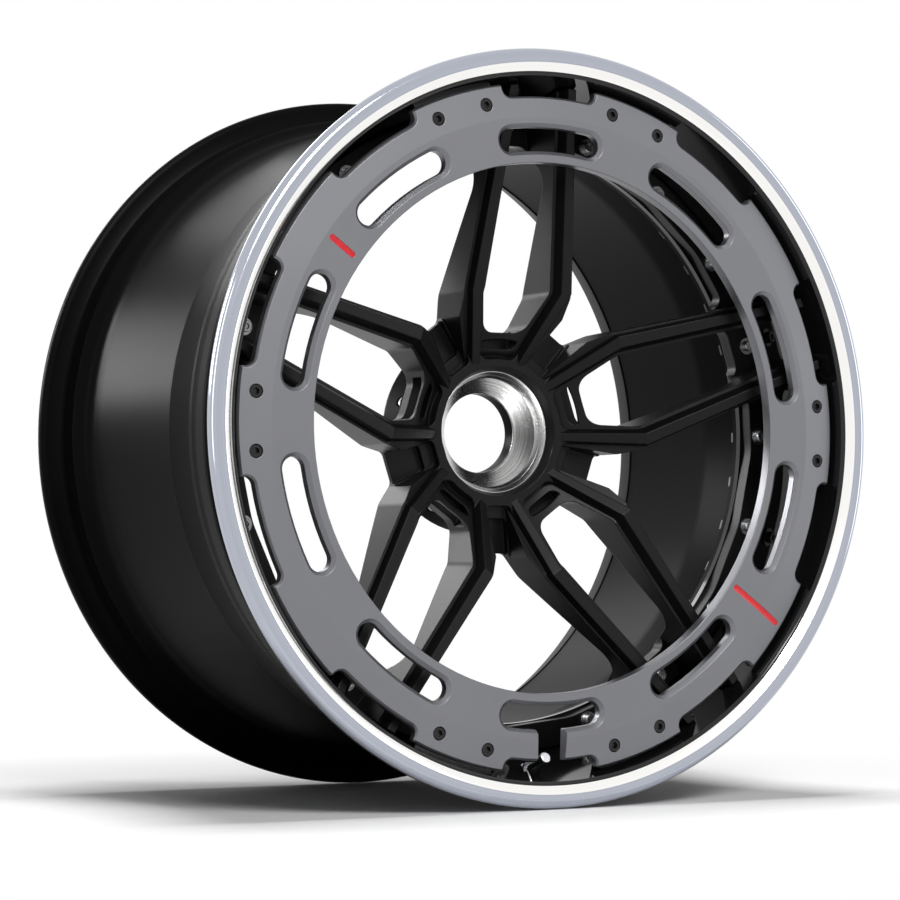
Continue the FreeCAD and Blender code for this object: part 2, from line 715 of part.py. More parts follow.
frame_far = frame_length + frame_reach
frame = front_sketch(centre, "frame_outline", hub_front_depth + frame_depth)
draw_outline(frame, [
    (inner_foot(frame_length) + 0.4, frame_length, frame_corner),
    (inner_foot(frame_far) + 0.4, frame_far),
    (inner_foot(frame_far) + 6, frame_far),
    (inner_foot(rib_hub_length) + 6, rib_hub_length),
    (-inner_foot(rib_hub_length) - 6, rib_hub_length),
    (-inner_foot(frame_far) - 6, frame_far),
    (-inner_foot(frame_far) - 0.4, frame_far),
    (-inner_foot(frame_length) - 0.4, frame_length, frame_corner),
])
frame_pad = extrude(centre, "frame", frame, frame_depth)
near_foot = gap_point(as_size(52), outer_foot(as_size(52)))
far_foot = gap_point(as_size(60), outer_foot(as_size(60)))
foot_slope = (far_foot[0] - near_foot[0]) / (far_foot[1] - near_foot[1])


def gap_foot(along):
    # Distance of a rib's outer foot from the middle line between two pairs.
    return near_foot[0] + foot_slope * (along - near_foot[1]) + 0.4


gap_frame = front_sketch(centre, "gap_frame_outline", hub_front_depth + frame_depth, gap_turn)
gap_frame_far = notch_hub_length + frame_reach * 0.7
draw_outline(gap_frame, [
    (gap_foot(notch_hub_length), notch_hub_length, frame_corner * 0.55),
    (gap_foot(gap_frame_far), gap_frame_far),
    (gap_foot(gap_frame_far) + 5, gap_frame_far),
    (gap_foot(rib_hub_length) + 5, rib_hub_length),
    (-gap_foot(rib_hub_length) - 5, rib_hub_length),
    (-gap_foot(gap_frame_far) - 5, gap_frame_far),
    (-gap_foot(gap_frame_far), gap_frame_far),
    (-gap_foot(notch_hub_length), notch_hub_length, frame_corner * 0.55),
])
gap_frame_pad = extrude(centre, "gap_frame", gap_frame, frame_depth)
repeat(centre, "hub_frames", [frame_pad, gap_frame_pad], pairs)

# Mounting pad with five lobes, the seat of the insert and the drive pin bores
revolve(centre, "pad", [
    (insert_body_radius, pad_front_depth),
    (pad_front_radius, pad_front_depth),
    (pad_radius, hub_face_depth),
    (insert_body_radius, hub_face_depth),
])
revolve(centre, "insert_seat", [
    (insert_body_radius - 10, as_size(60)),
    (insert_radius, as_size(60)),
    (insert_radius, insert_shoulder_depth),
    (insert_body_radius, insert_shoulder_depth),
    (insert_body_radius, hub_face_depth + 5),
    (insert_body_radius - 10, hub_face_depth + 5),
], cut=True)
scallop = front_sketch(centre, "scallop_circle", web_back_hub_depth, gap_turn)
draw_circle(scallop, (as_size(0.0), scallop_centre), scallop_radius)
scallop_cut = extrude(centre, "scallop", scallop, hub_face_depth - web_back_hub_depth + 5, cut=True)
pin_bore = front_sketch(centre, "pin_bore_circle", hub_face_depth - pin_bush_length)
draw_circle(pin_bore, (as_size(0.0), pin_circle_radius), pin_bush_radius)
pin_cut = extrude(centre, "pin_bore", pin_bore, pin_bush_length + 5, cut=True)
repeat(centre, "pad_cuts", [scallop_cut, pin_cut], pairs)
centre_hole = front_sketch(centre, "centre_bolt_circle", centre_flange_front - 1)
draw_circle(centre_hole, (as_size(0.0), bolt_circle_radius), bolt_hole_radius)
centre_hole_cut = extrude(centre, "centre_bolt_hole", centre_hole, centre_flange_thickness + 2, cut=True)
repeat(centre, "centre_bolt_holes", [centre_hole_cut], bolt_count)

# Raised ribs on the bars, each a ruled loft through the hub, the kink and the rim
rib_ends = [
    (rib_hub_length, rib_hub_offset, rib_hub_width, hub_front_depth + 1),
    (kink_length, rib_kink_offset, rib_kink_width, kink_depth),
    (rim_length + 14, rib_rim_offset - 1.2, rib_rim_width, face_rim_depth - face_slope * 10),
]
ribs = []
for side in (-1, 1):
    sections = []
    for station, (along, offset, width, depth) in enumerate(rib_ends):
        name = "rib_section_%d_%d" % (side + 1, station)
        section = new_sketch(centre, name, "XY_Plane", along)
        inner = offset - width / 2
        outer = offset + width / 2
        low = depth + ledge_drop
        corners = [
            (inner - rib_inner_slope, low + 5),
            (inner - rib_inner_slope, low),
            (inner, depth),
            (outer, depth),
            (outer + rib_outer_slope, low),
            (outer + rib_outer_slope, low + 5),
        ]
        draw_outline(section, [(corner[0] * side, corner[1]) for corner in corners])
        sections.append(section)
    rib = centre.newObject("PartDesign::AdditiveLoft", "rib_%d" % (side + 1))
    rib.Profile = sections[0]
    rib.Sections = sections[1:]
    rib.Ruled = True
    rib.Refine = False
    doc.recompute()
    ribs.append(rib)
repeat(centre, "ribs", ribs, pairs)

revolve(centre, "outer_trim", [
    (outer_contour(as_size(0.0)), as_size(0.0)),
    (flange_radius, as_size(0.0)),
    (flange_radius, lip_flange_front + 10),
    (outer_contour(lip_flange_front + 10), lip_flange_front + 10),
], cut=True)

# Hub insert and drive pin bushes
insert = new_body("centre_lock_insert")
revolve(insert, "insert_turned", [
    (insert_radius - insert_chamfer, insert_front_depth),
    (insert_radius, insert_front_depth + insert_chamfer),
    (insert_radius, insert_shoulder_depth),
    (insert_body_radius, insert_shoulder_depth),
    (insert_body_radius, hub_face_depth),
    (insert_bore_radius, hub_face_depth),
    (insert_bore_radius, insert_cone_depth),
    (insert_step_radius, insert_step_depth),
    (insert_radius - insert_chamfer - insert_rim_width, insert_front_depth),
])
bushes = new_body("drive_pin_bushes", True)
bush_ring = front_sketch(bushes, "bush_circles", hub_face_depth)
draw_circle(bush_ring, (as_size(0.0), pin_circle_radius), pin_bush_radius)
draw_circle(bush_ring, (as_size(0.0), pin_circle_radius), pin_bore_radius)
bush = extrude(bushes, "bush", bush_ring, pin_bush_length)
repeat(bushes, "bush_group", [bush], pairs)

# Fasteners that join centre, lip and barrel
bolt_seat = centre_flange_front - bolt_washer_height
nut_end = barrel_flange_back + nut_height
bolts = new_body("assembly_bolts", True)
bolt = revolve(bolts, "bolt_turned", [
    (bolt_circle_radius, bolt_seat - bolt_head_height + 1.2),
    (bolt_circle_radius + bolt_head_radius * 0.55, bolt_seat - bolt_head_height + 1.2),
    (bolt_circle_radius + bolt_head_radius * 0.55, bolt_seat - bolt_head_height),
    (bolt_circle_radius + bolt_head_radius, bolt_seat - bolt_head_height),
    (bolt_circle_radius + bolt_head_radius, bolt_seat),
    (bolt_circle_radius + bolt_shank_radius, bolt_seat),
    (bolt_circle_radius + bolt_shank_radius, nut_end + bolt_tip_length),
    (bolt_circle_radius, nut_end + bolt_tip_length),
], bolt_circle_radius)
repeat(bolts, "bolt_group", [bolt], bolt_count)


def ring_group(label, depth, height, outer, inner, turn=None, sides=None):
    # Washers or nuts on the bolt circle, their rear face at the given depth.
    body = new_body(label, True)
    sketch = front_sketch(body, label + "_outline", depth, turn)
    middle = (as_size(0.0), bolt_circle_radius)
    if sides is None:
        draw_circle(sketch, middle, outer)
    else:
        draw_polygon(sketch, sides, middle, outer)
    draw_circle(sketch, middle, inner)
    single = extrude(body, label + "_single", sketch, height)
    repeat(body, label + "_group", [single], bolt_count)
    return body


ring_group("assembly_washers", centre_flange_front, bolt_washer_height, bolt_washer_radius,
           bolt_hole_radius)
ring_group("assembly_nuts", nut_end, nut_height, nut_radius, bolt_shank_radius, None, 6)
ring_group("rim_nuts", nut_end, nut_height, nut_radius, bolt_shank_radius, half_step, 6)
rim_bolts = new_body("rim_bolts", True)
sunk_bolt = revolve(rim_bolts, "sunk_bolt_turned", [
    (bolt_circle_radius, lip_flange_front + 0.2),
    (bolt_circle_radius + sunk_head_radius - 0.2, lip_flange_front + 0.2),
    (bolt_circle_radius + bolt_shank_radius, lip_flange_front + sunk_head_radius - bolt_shank_radius),
    (bolt_circle_radius + bolt_shank_radius, nut_end + bolt_tip_length),
    (bolt_circle_radius, nut_end + bolt_tip_length),
], bolt_circle_radius, turn=half_step)
repeat(rim_bolts, "rim_bolt_group", [sunk_bolt], bolt_count)

# Aero ring
ring = new_body("aero_ring")
revolve(ring, "ring_turned", [
    (ring_bore_radius, ring_front_depth + edge_break),
    (ring_bore_radius + edge_break, ring_front_depth),
    (ring_crease_radius, ring_front_depth),
    (ring_outer_radius, ring_front_depth + ring_outer_setback),
    (ring_outer_radius, ring_back_depth),
    (ring_bore_radius, ring_back_depth),
])


def draw_arc_slot(sketch, inner, outer, half_angle):
    # Slot along a circle about the wheel axis, with full round ends, at the top of the ring.
    middle = (inner.value + outer.value) / 2
    end_radius = (outer.value - inner.value) / 2
    up = math.radians(90)
    spread = math.radians(half_angle.value) - math.asin(end_radius / middle)
    normal = FreeCAD.Vector(0, 0, 1)
    zero = FreeCAD.Vector(0, 0, 0)
    left = FreeCAD.Vector(middle * math.cos(up + spread), middle * math.sin(up + spread), 0)
    right = FreeCAD.Vector(middle * math.cos(up - spread), middle * math.sin(up - spread), 0)
    big = sketch.addGeometry(Part.ArcOfCircle(Part.Circle(zero, normal, outer.value), up - spread, up + spread))
    small = sketch.addGeometry(Part.ArcOfCircle(Part.Circle(zero, normal, inner.value), up - spread, up + spread))
    turn_left = up + spread
    turn_right = up - spread
    head = sketch.addGeometry(
        Part.ArcOfCircle(Part.Circle(left, normal, end_radius), turn_left, turn_left + math.pi))
    tail = sketch.addGeometry(
        Part.ArcOfCircle(Part.Circle(right, normal, end_radius), turn_right - math.pi, turn_right))
    sketch.addConstraint(Sketcher.Constraint("Coincident", big, 3, -1, 1))
    sketch.addConstraint(Sketcher.Constraint("Coincident", small, 3, -1, 1))
    sketch.addConstraint(Sketcher.Constraint("Tangent", big, 2, head, 1))
    sketch.addConstraint(Sketcher.Constraint("Tangent", head, 2, small, 2))
    sketch.addConstraint(Sketcher.Constraint("Tangent", big, 1, tail, 2))
    sketch.addConstraint(Sketcher.Constraint("Tangent", tail, 1, small, 1))
    for arc, radius in ((big, outer), (small, inner)):
        bind_last(sketch, sketch.addConstraint(Sketcher.Constraint("Radius", arc, radius.value)), radius)
    reach = Size(middle * math.sin(spread), "(%s + %s) / 2 * sin(%s * 1deg - asin(%s / %s))" % (
        inner.formula, outer.formula, half_angle.formula,
        (outer - inner).formula, (outer + inner).formula))
    for end, span in ((tail, reach), (head, -reach)):
        half_span = Sketcher.Constraint("DistanceX", -1, 1, end, 3, span.value)
        bind_last(sketch, sketch.addConstraint(half_span), span)


slot = front_sketch(ring, "slot_outline", 0)
draw_arc_slot(slot, slot_inner_radius, slot_outer_radius, slot_half_angle)
slot_cut = extrude(ring, "slot", slot, ring_back_depth + 5, cut=True)
notch = revolve(ring, "notch", [
    (notch_floor_radius, as_size(1.0)),
    (ring_outer_radius + 6, as_size(1.0)),
    (ring_outer_radius + 6, ring_back_depth + 5),
    (notch_floor_radius, ring_back_depth + 5),
], angle=notch_half_angle * 2, turn=-(slot_step / 2), cut=True)
ring_openings = repeat(ring, "ring_openings", [slot_cut, notch], slot_count)


def edges_where(feature, wanted):
    # Names of the edges of a feature for which wanted(edge) holds.
    return ["Edge%d" % (index + 1) for index, edge in enumerate(feature.Shape.Edges) if wanted(edge)]


def radius_of(point):
    return math.hypot(point.x, point.z)


def upright_at(radius):
    # Picks the straight edges along the wheel axis at one radius.
    def wanted(edge):
        ends = [vertex.Point for vertex in edge.Vertexes]
        if len(ends) < 2 or abs(ends[0].x - ends[1].x) + abs(ends[0].z - ends[1].z) > 0.001:
            return False
        return abs(radius_of(ends[0]) - radius.value) < 0.01
    return wanted


def on_slot_rim(edge):
    # Picks the front edges of the slots.
    ends = [vertex.Point for vertex in edge.Vertexes]
    level = all(abs(end.y - ring_front_depth.value) < 0.001 for end in ends)
    inside = all(slot_inner_radius.value - 0.1 < radius_of(end) < slot_outer_radius.value + 0.1 for end in ends)
    return len(ends) == 2 and level and inside


def round_edges(body, name, base, edges, radius):
    fillet = body.newObject("PartDesign::Fillet", name)
    fillet.Base = (base, edges)
    fillet.setExpression("Radius", radius.formula)
    doc.recompute()
    return fillet


notch_inner = round_edges(ring, "notch_inner_corners", ring_openings,
                          edges_where(ring_openings, upright_at(notch_floor_radius)), notch_corner)
notch_outer = round_edges(ring, "notch_outer_corners", notch_inner,
                          edges_where(notch_inner, upright_at(ring_outer_radius)), notch_flare)
slot_edges = ring.newObject("PartDesign::Chamfer", "slot_edges")
slot_edges.Base = (notch_outer, edges_where(notch_outer, on_slot_rim))
slot_edges.setExpression("Size", slot_chamfer.formula)
doc.recompute()


def on_notch_rim(edge):
    # Picks the front edges of the ring's outline and of its notches.
    for vertex in edge.Vertexes:
        radius = radius_of(vertex.Point)
        share = (radius - ring_crease_radius.value) / (ring_outer_radius.value - ring_crease_radius.value)
        if share < 0.3 or abs(vertex.Point.y - ring_front_depth.value - share * ring_outer_setback.value) > 0.01:
            return False
    return True


notch_edges = ring.newObject("PartDesign::Chamfer", "notch_edges")
notch_edges.Base = (slot_edges, edges_where(slot_edges, on_notch_rim))
notch_edges.setExpression("Size", notch_chamfer.formula)
doc.recompute()

valve_cut = front_sketch(ring, "valve_cut_outline", 0)
slot_middle = (slot_inner_radius + slot_outer_radius) / 2
draw_outline(valve_cut, [
    (-valve_cut_half, -slot_middle),
    (-valve_cut_half + 1.5, -ring_outer_radius),
    (valve_cut_half - 1.5, -ring_outer_radius),
    (valve_cut_half, -slot_middle),
])
extrude(ring, "valve_cut", valve_cut, ring_back_depth + 5, cut=True)

head_top = ring_front_depth + ring_outer_setback / 2 + 0.1
head_seat = head_top + screw_head_height
ring_holes = front_sketch(ring, "ring_hole_circles", 0)
for point in screw_points:
    draw_circle(ring_holes, point, screw_shank_radius + 0.3)
extrude(ring, "ring_holes", ring_holes, ring_back_depth + 5, cut=True)
ring_sinks = front_sketch(ring, "ring_sink_circles", 0)
for point in screw_points:
    draw_circle(ring_sinks, point, screw_head_radius + screw_head_clearance)
extrude(ring, "ring_sinks", ring_sinks, head_seat, cut=True)


def draw_mark(sketch, start, end):
    # Radial groove with round ends, drawn upright and turned by its sketch.
    half = mark_width / 2
    draw_outline(sketch, [
        (half, start, mark_width * 0.498),
        (half, end, mark_width * 0.498),
        (-half, end, mark_width * 0.498),
        (-half, start, mark_width * 0.498),
    ])


marks = [
    ("ring_mark_short", short_mark_start, short_mark_end, as_size(54)),
    ("ring_mark_long", long_mark_start, long_mark_end, as_size(234)),
]
for label, start, end, turn in marks:
    groove = front_sketch(ring, label + "_groove_outline", 0, turn)
    draw_mark(groove, start, end)
    extrude(ring, label + "_groove", groove, ring_front_depth + mark_groove_depth, cut=True)
for label, start, end, turn in marks:
    mark = new_body(label)
    face = front_sketch(mark, label + "_outline", ring_front_depth + mark_groove_depth, turn)
    draw_mark(face, start, end)
    extrude(mark, label + "_filling", face, mark_groove_depth - mark_sink)
    revolve(mark, label + "_bevel", [
        (ring_crease_radius, ring_front_depth + mark_sink),
        (ring_crease_radius, ring_front_depth - 4),
        (ring_outer_radius, ring_front_depth - 4),
        (ring_outer_radius, ring_front_depth + ring_outer_setback + mark_sink),
    ], cut=True)

# Screws of the ring
screws = new_body("aero_ring_screws", True)
heads = front_sketch(screws, "screw_head_circles", head_seat)
shanks = front_sketch(screws, "screw_shank_circles", ring_back_depth + screw_length)
sockets = front_sketch(screws, "screw_socket_circles", head_top - 1)
for point in screw_points:
    draw_circle(heads, point, screw_head_radius)
    draw_circle(shanks, point, screw_shank_radius)
    draw_circle(sockets, point, screw_socket_radius)
extrude(screws, "screw_heads", heads, screw_head_height)
extrude(screws, "screw_shanks", shanks, ring_back_depth + screw_length - head_seat)
extrude(screws, "screw_sockets", sockets, screw_head_height * 0.6 + 1, cut=True)


def valve_body(label):
    # A body drawn about its own y axis: y = 0 at the lip's wall, growing towards the tyre side.
    body = doc.addObject("PartDesign::Body", label)
    body.Label = label
    body.Placement = FreeCAD.Placement(
        FreeCAD.Vector(0, 0, 0), FreeCAD.Rotation(FreeCAD.Vector(1, 0, 0), -valve_tilt.value))
    body.setExpression("Placement.Base.y", (valve_depth - hub_face_depth).formula)
    body.setExpression("Placement.Base.z", (-valve_radius).formula)
    body.setExpression("Placement.Rotation.Angle", (-valve_tilt).formula)
    nodes.append(body)
    return body


foot_front = valve_seat_outside + valve_seal_height
washer_front = valve_seat_inside - valve_washer_height
nut_front = washer_front - valve_nut_height
neck_end = -valve_reach + valve_neck_length
revolve(valve_body("valve_stem"), "stem_turned", [
    (valve_bore_radius, foot_front + valve_foot_height),
    (valve_foot_radius, foot_front + valve_foot_height),
    (valve_foot_radius, foot_front),
    (valve_shank_radius, foot_front),
    (valve_shank_radius, nut_front - 2),
    (valve_neck_radius, neck_end),
    (valve_neck_radius, -valve_reach),
    (valve_bore_radius, -valve_reach),
])
revolve(valve_body("valve_seal"), "seal_ring_turned", [
    (valve_hole_radius, valve_seat_outside),
    (valve_foot_radius + 0.6, valve_seat_outside),
    (valve_foot_radius, foot_front),
    (valve_hole_radius, foot_front),
])
revolve(valve_body("valve_washer"), "washer_turned", [
    (valve_hole_radius, washer_front),
    (valve_washer_radius, washer_front),
    (valve_washer_radius, valve_seat_inside),
    (valve_hole_radius, valve_seat_inside),
])
valve_nut = valve_body("valve_nut")
nut_outline = front_sketch(valve_nut, "valve_nut_outline", washer_front)
draw_polygon(nut_outline, 6, (as_size(0.0), as_size(0.0)), valve_nut_radius)
draw_circle(nut_outline, (as_size(0.0), as_size(0.0)), valve_shank_radius)
extrude(valve_nut, "valve_nut_body", nut_outline, valve_nut_height)
revolve(valve_body("valve_core"), "core_turned", [
    (as_size(0.0), -valve_reach + 0.6),
    (valve_core_radius, -valve_reach + 0.6),
    (valve_core_radius, -valve_reach + valve_core_length),
    (as_size(0.0), -valve_reach + valve_core_length),
])
cap_start = -valve_reach + valve_cap_length - valve_cap_roof
revolve(valve_body("valve_cap"), "cap_turned", [
    (as_size(0.0), -valve_reach - valve_cap_roof - 0.3),
    (valve_cap_radius, -valve_reach - valve_cap_roof - 0.3, 1),
    (valve_cap_radius, cap_start),
    (valve_neck_radius + 0.05, cap_start),
    (valve_neck_radius + 0.05, -valve_reach - 0.3),
    (as_size(0.0), -valve_reach - 0.3),
])

doc.recompute()
for item in doc.Objects:
    if "Invalid" in item.State or "Error" in item.State:
        raise RuntimeError("not built: " + item.Name)
os.makedirs("parts", exist_ok=True)
for node in nodes:
    if node.Shape.isNull() or not node.Shape.isValid():
        raise RuntimeError("bad shape: " + node.Label)
    node.Shape.exportStep("parts/" + node.Label + ".step")
    print(node.Label, len(node.Shape.Solids), round(node.Shape.Volume))
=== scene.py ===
import bpy
import math
from mathutils import Matrix, Vector


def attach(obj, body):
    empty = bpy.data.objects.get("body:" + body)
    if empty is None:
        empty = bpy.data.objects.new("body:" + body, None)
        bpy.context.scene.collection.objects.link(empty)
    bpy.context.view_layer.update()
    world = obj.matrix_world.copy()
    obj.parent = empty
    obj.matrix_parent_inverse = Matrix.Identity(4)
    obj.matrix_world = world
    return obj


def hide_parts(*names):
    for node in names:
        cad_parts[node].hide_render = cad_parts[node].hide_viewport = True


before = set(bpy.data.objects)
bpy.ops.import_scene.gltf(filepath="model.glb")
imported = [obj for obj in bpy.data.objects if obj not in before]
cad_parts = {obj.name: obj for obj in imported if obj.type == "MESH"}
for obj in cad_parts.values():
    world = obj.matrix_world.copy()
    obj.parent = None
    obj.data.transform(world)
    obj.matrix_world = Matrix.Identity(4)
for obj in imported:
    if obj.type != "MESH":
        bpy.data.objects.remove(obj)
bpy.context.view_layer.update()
hubDepth = 134.0
floorHeight = -0.284
mergeDistance = 0.000005


def place(radius, depth, angle):
    # millimetres and degrees to the frame, depth counted from the front edge of the lip
    turn = math.radians(angle)
    return Vector((radius * math.cos(turn) / 1000, depthToFrame(depth),
                   radius * math.sin(turn) / 1000))


def depthToFrame(depth):
    return (depth - hubDepth) / 1000


def radiusOf(point):
    return math.hypot(point.x, point.z) * 1000


def depthOf(point):
    return point.y * 1000 + hubDepth


def outwardness(face):
    # above zero where a face looks away from the wheel axis
    return face.normal.x * face.center.x + face.normal.z * face.center.z


def startMaterial(name):
    material = bpy.data.materials.new(name)
    material.use_nodes = True
    tree = material.node_tree
    shader = tree.nodes["Principled BSDF"]
    coords = tree.nodes.new("ShaderNodeTexCoord")
    return material, tree, shader, coords


def addNoise(tree, vector, scale, detail, rough=0.55):
    noise = tree.nodes.new("ShaderNodeTexNoise")
    noise.inputs["Scale"].default_value = scale
    noise.inputs["Detail"].default_value = detail
    noise.inputs["Roughness"].default_value = rough
    tree.links.new(vector, noise.inputs["Vector"])
    return noise.outputs["Fac"]


def addRange(tree, value, low, high, fromLow=0.3, fromHigh=0.7):
    span = tree.nodes.new("ShaderNodeMapRange")
    span.inputs["From Min"].default_value = fromLow
    span.inputs["From Max"].default_value = fromHigh
    span.inputs["To Min"].default_value = low
    span.inputs["To Max"].default_value = high
    tree.links.new(value, span.inputs["Value"])
    return span.outputs["Result"]


def addMix(tree, factor, first, second):
    mix = tree.nodes.new("ShaderNodeMix")
    mix.data_type = "RGBA"
    tree.links.new(factor, mix.inputs["Factor"])
    mix.inputs["A"].default_value = (*first, 1)
    mix.inputs["B"].default_value = (*second, 1)
    return mix.outputs["Result"]


def addBump(tree, shader, height, strength, distance, edge=0.0):
    bump = tree.nodes.new("ShaderNodeBump")
    bump.inputs["Strength"].default_value = strength
    bump.inputs["Distance"].default_value = distance
    tree.links.new(height, bump.inputs["Height"])
    if edge:
        # softens the light on the edges of a machined piece
        rounding = tree.nodes.new("ShaderNodeBevel")
        rounding.samples = 6
        rounding.inputs["Radius"].default_value = edge
        tree.links.new(rounding.outputs["Normal"], bump.inputs["Normal"])
    tree.links.new(bump.outputs["Normal"], shader.inputs["Normal"])


def paint(name, look):
    # a painted or plated surface: broad tone change, fine grain in gloss and relief
    material, tree, shader, coords = startMaterial(name)
    broad = addNoise(tree, coords.outputs["Object"], look.get("broadScale", 9.0), detail=3.0)
    fine = addNoise(tree, coords.outputs["Object"], look.get("fineScale", 900.0), detail=5.0)
    tone = addMix(tree, addRange(tree, broad, 0.0, 1.0), look["dark"], look["light"])
    tree.links.new(tone, shader.inputs["Base Color"])
    gloss = addRange(tree, fine, look["roughLow"], look["roughHigh"])
    tree.links.new(gloss, shader.inputs["Roughness"])
    shader.inputs["Metallic"].default_value = look.get("metallic", 0.0)
    shader.inputs["Specular IOR Level"].default_value = look.get("specular", 0.5)
    shader.inputs["Coat Weight"].default_value = look.get("coat", 0.0)
    shader.inputs["Coat Roughness"].default_value = look.get("coatRough", 0.1)
    addBump(tree, shader, fine, look["bump"], look.get("bumpDepth", 0.0002), look.get("edge", 0.0))
    return material


def turnedMetal(name, look):
    # lathe-turned metal: rings that follow the radius and the depth
    material, tree, shader, coords = startMaterial(name)
    split = tree.nodes.new("ShaderNodeSeparateXYZ")
    tree.links.new(coords.outputs["Object"], split.inputs["Vector"])
    flat = tree.nodes.new("ShaderNodeCombineXYZ")
    tree.links.new(split.outputs["X"], flat.inputs["X"])
    tree.links.new(split.outputs["Z"], flat.inputs["Y"])
    length = tree.nodes.new("ShaderNodeVectorMath")
    length.operation = "LENGTH"
    tree.links.new(flat.outputs["Vector"], length.inputs[0])
    rings = tree.nodes.new("ShaderNodeCombineXYZ")
    tree.links.new(length.outputs["Value"], rings.inputs["X"])
    tree.links.new(split.outputs["Y"], rings.inputs["Y"])
    cuts = addNoise(tree, rings.outputs["Vector"], look["ringScale"], detail=6.0, rough=0.7)
    broad = addNoise(tree, coords.outputs["Object"], scale=30.0, detail=3.0)
    tone = addMix(tree, addRange(tree, cuts, 0.0, 1.0), look["dark"], look["light"])
    tree.links.new(tone, shader.inputs["Base Color"])
    gloss = addRange(tree, broad, look["roughLow"], look["roughHigh"])
    tree.links.new(gloss, shader.inputs["Roughness"])
    shader.inputs["Metallic"].default_value = 1.0
    shader.inputs["Anisotropic"].default_value = look.get("anisotropic", 0.0)
    tangent = tree.nodes.new("ShaderNodeTangent")
    tangent.direction_type = "RADIAL"
    tangent.axis = "Y"
    tree.links.new(tangent.outputs["Tangent"], shader.inputs["Tangent"])
    addBump(tree, shader, cuts, look["bump"], distance=0.00012)
    return material


centreBlack = paint("centreBlack", {
    "dark": (0.0036, 0.0036, 0.0039), "light": (0.0050, 0.0050, 0.0054),
    "roughLow": 0.30, "roughHigh": 0.38, "specular": 0.17, "fineScale": 1400.0,
    "bump": 0.12, "bumpDepth": 0.00015, "edge": 0.0014})
barrelBlack = paint("barrelBlack", {
    "dark": (0.003, 0.003, 0.0032), "light": (0.004, 0.004, 0.0043),
    "roughLow": 0.27, "roughHigh": 0.32, "specular": 0.025, "fineScale": 1100.0,
    "bump": 0.05, "bumpDepth": 0.0001})
barrelInner = paint("barrelInner", {
    "dark": (0.003, 0.003, 0.0032), "light": (0.004, 0.004, 0.0043),
    "roughLow": 0.30, "roughHigh": 0.36, "specular": 0.02, "fineScale": 1100.0,
    "bump": 0.05, "bumpDepth": 0.0001})
wallBlack = paint("wallBlack", {
    "dark": (0.004, 0.004, 0.0043), "light": (0.0055, 0.0055, 0.006),
    "roughLow": 0.05, "roughHigh": 0.08, "specular": 0.3, "coat": 0.2, "coatRough": 0.04,
    "bump": 0.02, "bumpDepth": 0.00005})
lipPolish = turnedMetal("lipPolish", {
    "dark": (0.40, 0.425, 0.49), "light": (0.47, 0.495, 0.56),
    "roughLow": 0.10, "roughHigh": 0.14, "ringScale": 700.0, "bump": 0.05})
# a lighter copy of the polished lip metal, a painted highlight that stands in for the white band of
# reflected light on the nose's inner slope
lipPaintedHighlight = turnedMetal("lipPaintedHighlight", {
    "dark": (0.90, 0.89, 0.87), "light": (0.96, 0.95, 0.93),
    "roughLow": 0.10, "roughHigh": 0.14, "ringScale": 700.0, "bump": 0.05})
ringGrey = paint("ringGrey", {
    "dark": (0.190, 0.192, 0.206), "light": (0.205, 0.207, 0.221),
    "roughLow": 0.34, "roughHigh": 0.42, "specular": 0.4, "metallic": 0.8, "fineScale": 2200.0,
    "bump": 0.06, "bumpDepth": 0.0001, "edge": 0.0007})
insertSteel = turnedMetal("insertSteel", {
    "dark": (0.42, 0.418, 0.416), "light": (0.86, 0.858, 0.855),
    "roughLow": 0.22, "roughHigh": 0.28, "ringScale": 950.0, "bump": 0.3, "anisotropic": 0.8})
boltSteel = paint("boltSteel", {
    "dark": (0.34, 0.343, 0.35), "light": (0.46, 0.463, 0.47),
    "roughLow": 0.24, "roughHigh": 0.32, "metallic": 1.0, "broadScale": 120.0, "bump": 0.08})
boltDark = paint("boltDark", {
    "dark": (0.045, 0.045, 0.047), "light": (0.065, 0.065, 0.068),
    "roughLow": 0.36, "roughHigh": 0.48, "metallic": 0.6, "broadScale": 120.0, "bump": 0.08})
screwBlack = paint("screwBlack", {
    "dark": (0.003, 0.003, 0.0033), "light": (0.005, 0.005, 0.0054),
    "roughLow": 0.20, "roughHigh": 0.28, "specular": 0.4, "broadScale": 160.0, "bump": 0.05})
markRed = paint("markRed", {
    "dark": (0.60, 0.008, 0.016), "light": (0.70, 0.014, 0.022),
    "roughLow": 0.30, "roughHigh": 0.40, "specular": 0.45, "broadScale": 160.0, "bump": 0.05})
sealRubber = paint("sealRubber", {
    "dark": (0.010, 0.010, 0.010), "light": (0.018, 0.018, 0.018),
    "roughLow": 0.6, "roughHigh": 0.8, "broadScale": 200.0, "bump": 0.3})
valveChrome = paint("valveChrome", {
    "dark": (0.72, 0.73, 0.75), "light": (0.82, 0.83, 0.85),
    "roughLow": 0.08, "roughHigh": 0.16, "metallic": 1.0, "broadScale": 150.0, "bump": 0.04})
valveBrass = paint("valveBrass", {
    "dark": (0.58, 0.40, 0.15), "light": (0.68, 0.48, 0.20),
    "roughLow": 0.22, "roughHigh": 0.34, "metallic": 1.0, "broadScale": 200.0, "bump": 0.06})
print("materials ready")

nodeLooks = {
    "wheel_centre": centreBlack, "outer_lip": wallBlack, "inner_barrel": barrelBlack,
    "aero_ring": ringGrey, "aero_ring_screws": screwBlack,
    "ring_mark_short": markRed, "ring_mark_long": markRed,
    "centre_lock_insert": insertSteel, "drive_pin_bushes": boltSteel,
    "assembly_bolts": boltSteel, "assembly_washers": boltSteel, "assembly_nuts": boltDark,
    "rim_bolts": boltDark, "rim_nuts": boltDark, "rim_seal": sealRubber,
    "valve_stem": valveChrome, "valve_nut": valveChrome, "valve_washer": valveChrome,
    "valve_cap": valveChrome, "valve_core": valveBrass, "valve_seal": sealRubber}
for nodeName, look in nodeLooks.items():
    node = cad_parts[nodeName]
    node.data.materials.clear()
    node.data.materials.append(look)


